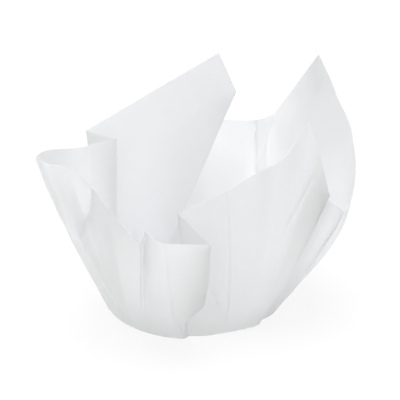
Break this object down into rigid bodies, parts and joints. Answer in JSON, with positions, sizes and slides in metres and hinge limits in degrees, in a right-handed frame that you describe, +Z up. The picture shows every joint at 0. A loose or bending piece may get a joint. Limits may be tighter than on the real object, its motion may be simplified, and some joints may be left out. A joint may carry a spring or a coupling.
{
  "type": "cupcake liner",
  "caption": "Tulip baking cup folded from one square sheet of thin white greaseproof paper, with a flat round base, a pleated wall and corner petals.",
  "frame": {"origin": "middle of the round base's flat underside", "axes": "+Z upwards out of the cup's mouth; -Y faces the viewer of the picture, towards the front flap; +X to the viewer's right"},
  "size_m": [0.0927, 0.092, 0.0713],
  "materials": {
    "greaseproof_paper": "thin uncoated white greaseproof paper, translucent, with a faint sheen and soft creases"
  },
  "bodies": {
    "root": {"liner": "greaseproof_paper"}
  },
  "joints": []
}
